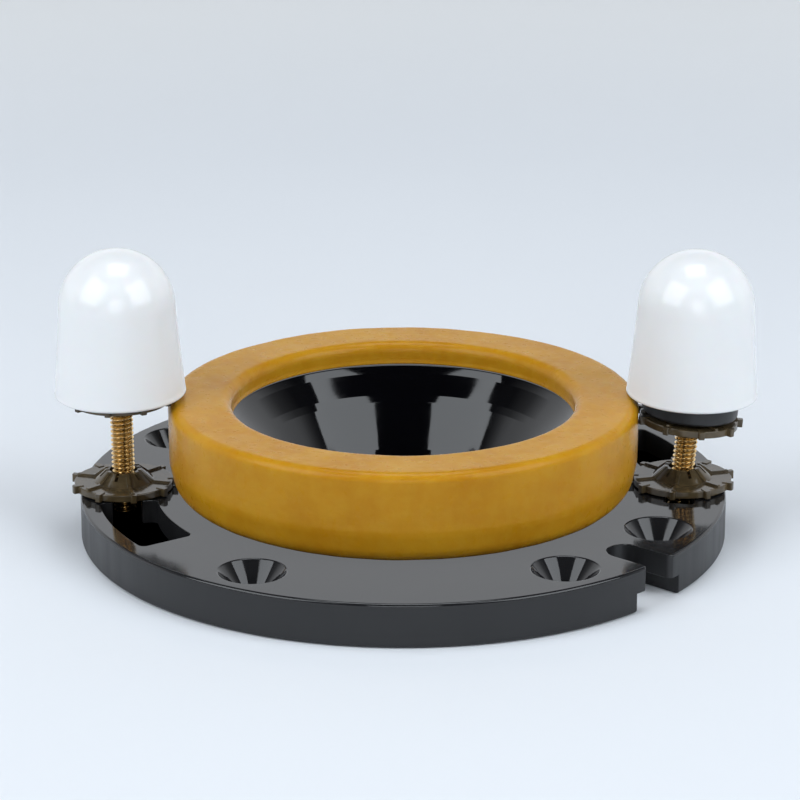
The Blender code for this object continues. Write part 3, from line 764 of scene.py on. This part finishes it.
def wax():
    """Soft amber wax, mottled, with fine rings and small pits, under a thin gloss."""
    look = Look("wax", Subsurface_Weight=0.2, Subsurface_Scale=0.003, Coat_Weight=0.12)
    look.shader.inputs["Coat Roughness"].default_value = 0.17
    look.shader.inputs["IOR"].default_value = 1.44
    look.shader.inputs["Specular IOR Level"].default_value = 0.12
    look.shader.inputs["Subsurface Radius"].default_value = (1.0, 0.42, 0.12)
    cloud = look.ramp(look.noise(17.0, 4.0), 0.3, 0.7)
    mottle = look.ramp(look.noise(3.2, 5.0), 0.35, 0.72)
    colour = look.mix(cloud, (0.45, 0.195, 0.005), (0.52, 0.25, 0.010))
    colour = look.mix(look.maths("MULTIPLY", mottle, 0.35), colour, (0.55, 0.30, 0.022))
    specks = look.ramp(look.noise(0.7, 2.0), 0.68, 0.76)
    colour = look.mix(look.maths("MULTIPLY", specks, 0.3), colour, (0.36, 0.16, 0.03))
    rough = look.ramp(look.noise(2.4, 4.0), 0.3, 0.7, 0.26, 0.4)
    broad = [(look.noise(9.0, 3.0), 0.18), (look.rings(1.3), 0.03)]
    look.relief(broad + [(look.noise(1.6, 4.0), 0.05), (look.noise(0.35, 2.0), 0.006)])
    return look.finish(colour, rough)


def horn():
    """Glossy black polyethylene, slightly wavy."""
    look = Look("black_polyethylene", IOR=1.5)
    colour = look.mix(look.noise(12.0), (0.001, 0.001, 0.0015), (0.002, 0.002, 0.003))
    rough = look.ramp(look.noise(7.0, 3.0), 0.3, 0.7, 0.04, 0.08)
    look.relief([(look.noise(18.0, 2.0), 0.04), (look.noise(0.5, 2.0), 0.0015)])
    return look.finish(colour, rough)


def brass():
    """Rolled brass: bright crests and flats, painted shade darkening the thread roots, fine drawing
    lines.
    """
    look = Look("brass", Metallic=1.0)
    # Painted shade: the base colour darkens from the crests down into the thread roots.
    crest = look.ramp(look.radius(), BOLT_ROOT * MM, (BOLT_RADIUS - 0.12) * MM)
    tarnish = look.ramp(look.noise(2.2, 4.0), 0.35, 0.75)
    bright = look.mix(tarnish, (0.86, 0.60, 0.27), (0.72, 0.47, 0.19))
    colour = look.mix(crest, (0.30, 0.18, 0.06), bright)
    rough = look.ramp(look.noise(0.6, 3.0), 0.3, 0.7, 0.13, 0.22)
    look.relief([(look.noise(0.4, 2.0, (1.0, 1.0, 0.15)), 0.0012)])
    return look.finish(colour, rough)


def bronze_plastic():
    """Dark brown translucent-looking plastic with moulding flow."""
    look = Look("bronze_plastic", IOR=1.52)
    flow = look.ramp(look.noise(3.5, 4.0), 0.3, 0.7)
    colour = look.mix(flow, (0.058, 0.042, 0.021), (0.095, 0.068, 0.034))
    rough = look.ramp(look.noise(1.2, 3.0), 0.3, 0.7, 0.10, 0.16)
    look.relief([(look.noise(5.0, 2.0), 0.012), (look.noise(0.3, 2.0), 0.0008)])
    return look.finish(colour, rough)


def black_plastic():
    """Satin black plastic."""
    look = Look("black_plastic", IOR=1.5)
    colour = look.mix(look.noise(4.0, 3.0), (0.010, 0.010, 0.011), (0.018, 0.018, 0.019))
    rough = look.ramp(look.noise(1.5, 3.0), 0.3, 0.7, 0.34, 0.46)
    look.relief([(look.noise(0.4, 2.0), 0.004)])
    return look.finish(colour, rough)


def white_plastic():
    """Glossy white plastic with a faint moulding ripple."""
    look = Look("white_plastic", IOR=1.5, Subsurface_Weight=0.08, Subsurface_Scale=0.002)
    colour = look.mix(look.noise(20.0, 3.0), (0.78, 0.785, 0.79), (0.82, 0.825, 0.83))
    rough = look.ramp(look.noise(6.0, 3.0), 0.3, 0.7, 0.1, 0.18)
    look.relief([(look.noise(14.0, 2.0), 0.05), (look.noise(0.5, 2.0), 0.001)])
    return look.finish(colour, rough)


# The studio.


def make_floor():
    """A wide pale floor, with painted light making it paler far off."""
    outline = arc((0.0, 0.0), FLOOR_RADIUS, 0, 360, 96)[:-1]
    floor = prism("studio_floor", outline, FLOOR_DEPTH, FLOOR_TOP)
    look = Look("floor_paper", Roughness=0.8)
    look.shader.inputs["Specular IOR Level"].default_value = 0.1
    # Painted light: the floor's colour brightens from 0.38 m out to 0.8 m from the middle.
    far = look.ramp(look.radius(), 0.38, 0.8)
    colour = look.mix(far, (0.775, 0.80, 0.835), (0.96, 0.97, 0.975))
    grain = look.mix(look.noise(60.0, 3.0), (0.0, 0.0, 0.0), (0.01, 0.01, 0.01))
    values = {0: 1.0, 6: colour, 7: grain}
    mixed = look.add("ShaderNodeMix", values, data_type="RGBA", blend_type="SUBTRACT")
    colour = mixed.outputs[2]
    look.tree.links.new(colour, look.shader.inputs["Base Color"])
    floor.data.materials.append(look.material)


def make_world():
    """A bright band low down behind the object, darker in front, and a dark ceiling."""
    world = bpy.data.worlds.new("studio")
    bpy.context.scene.world = world
    world.use_nodes = True
    tree = world.node_tree
    direction = tree.nodes.new("ShaderNodeTexCoord")
    split = tree.nodes.new("ShaderNodeSeparateXYZ")
    tree.links.new(direction.outputs["Generated"], split.inputs[0])

    def bands(axis, stops):
        """Grey levels along one axis of the direction, slightly blue."""
        ramp = tree.nodes.new("ShaderNodeValToRGB")
        tree.links.new(split.outputs[axis], ramp.inputs[0])
        elements = ramp.color_ramp.elements
        elements[1].position = stops[-1][0]
        for position, _ in stops[1:-1]:
            elements.new(position)
        for element, (position, level) in zip(elements, stops):
            element.position = position
            element.color = (level * 0.97, level, level * 1.04, 1.0)
        return ramp.outputs[0]

    height = bands("Z", WORLD_BY_HEIGHT)
    shift = tree.nodes.new("ShaderNodeMapRange")
    for number, value in enumerate((-1.0, 1.0, 0.0, 1.0), 1):
        shift.inputs[number].default_value = value
    tree.links.new(split.outputs["Y"], shift.inputs[0])
    front = tree.nodes.new("ShaderNodeMapRange")
    for number, value in enumerate(WORLD_FRONT, 1):
        front.inputs[number].default_value = value
    tree.links.new(shift.outputs[0], front.inputs[0])
    both = tree.nodes.new("ShaderNodeVectorMath")
    both.operation = "SCALE"
    tree.links.new(height, both.inputs[0])
    tree.links.new(front.outputs[0], both.inputs["Scale"])
    tree.links.new(both.outputs[0], tree.nodes["Background"].inputs[0])


def softbox(name, direction, distance, size, radiance):
    """A square area light that faces the object."""
    light = bpy.data.lights.new(name, "AREA")
    light.shape = "SQUARE"
    light.size = size
    light.energy = 4 * size * size * radiance
    light.color = LIGHT_COLOUR
    lamp = bpy.data.objects.new(name, light)
    bpy.context.scene.collection.objects.link(lamp)
    towards = Vector(direction).normalized()
    lamp.location = towards * distance
    lamp.rotation_euler = towards.to_track_quat("Z", "Y").to_euler()


def make_camera():
    """A long lens, a little above the object's level, in front."""
    data = bpy.data.cameras.new("camera")
    data.lens = CAMERA_LENS
    data.sensor_width = CAMERA_SENSOR
    camera = bpy.data.objects.new("camera", data)
    bpy.context.scene.collection.objects.link(camera)
    camera.location = Vector(CAMERA_PLACE) * MM
    target = Vector(CAMERA_TARGET) * MM
    camera.rotation_euler = (camera.location - target).to_track_quat("Z", "Y").to_euler()
    bpy.context.scene.camera = camera


def main():
    looks = {
        "brass": brass(),
        "bronze": bronze_plastic(),
        "black": black_plastic(),
        "white": white_plastic(),
    }
    make_flange(black_abs())
    make_wax_ring(wax())
    make_horn(horn())
    mesh = retainer_mesh()
    for side in SIDES:
        make_side(side, mesh, looks)
    make_floor()
    make_world()
    for name, values in SOFTBOXES.items():
        softbox(name, *values)
    make_camera()
    bpy.context.scene.view_settings.view_transform = "Standard"


main()
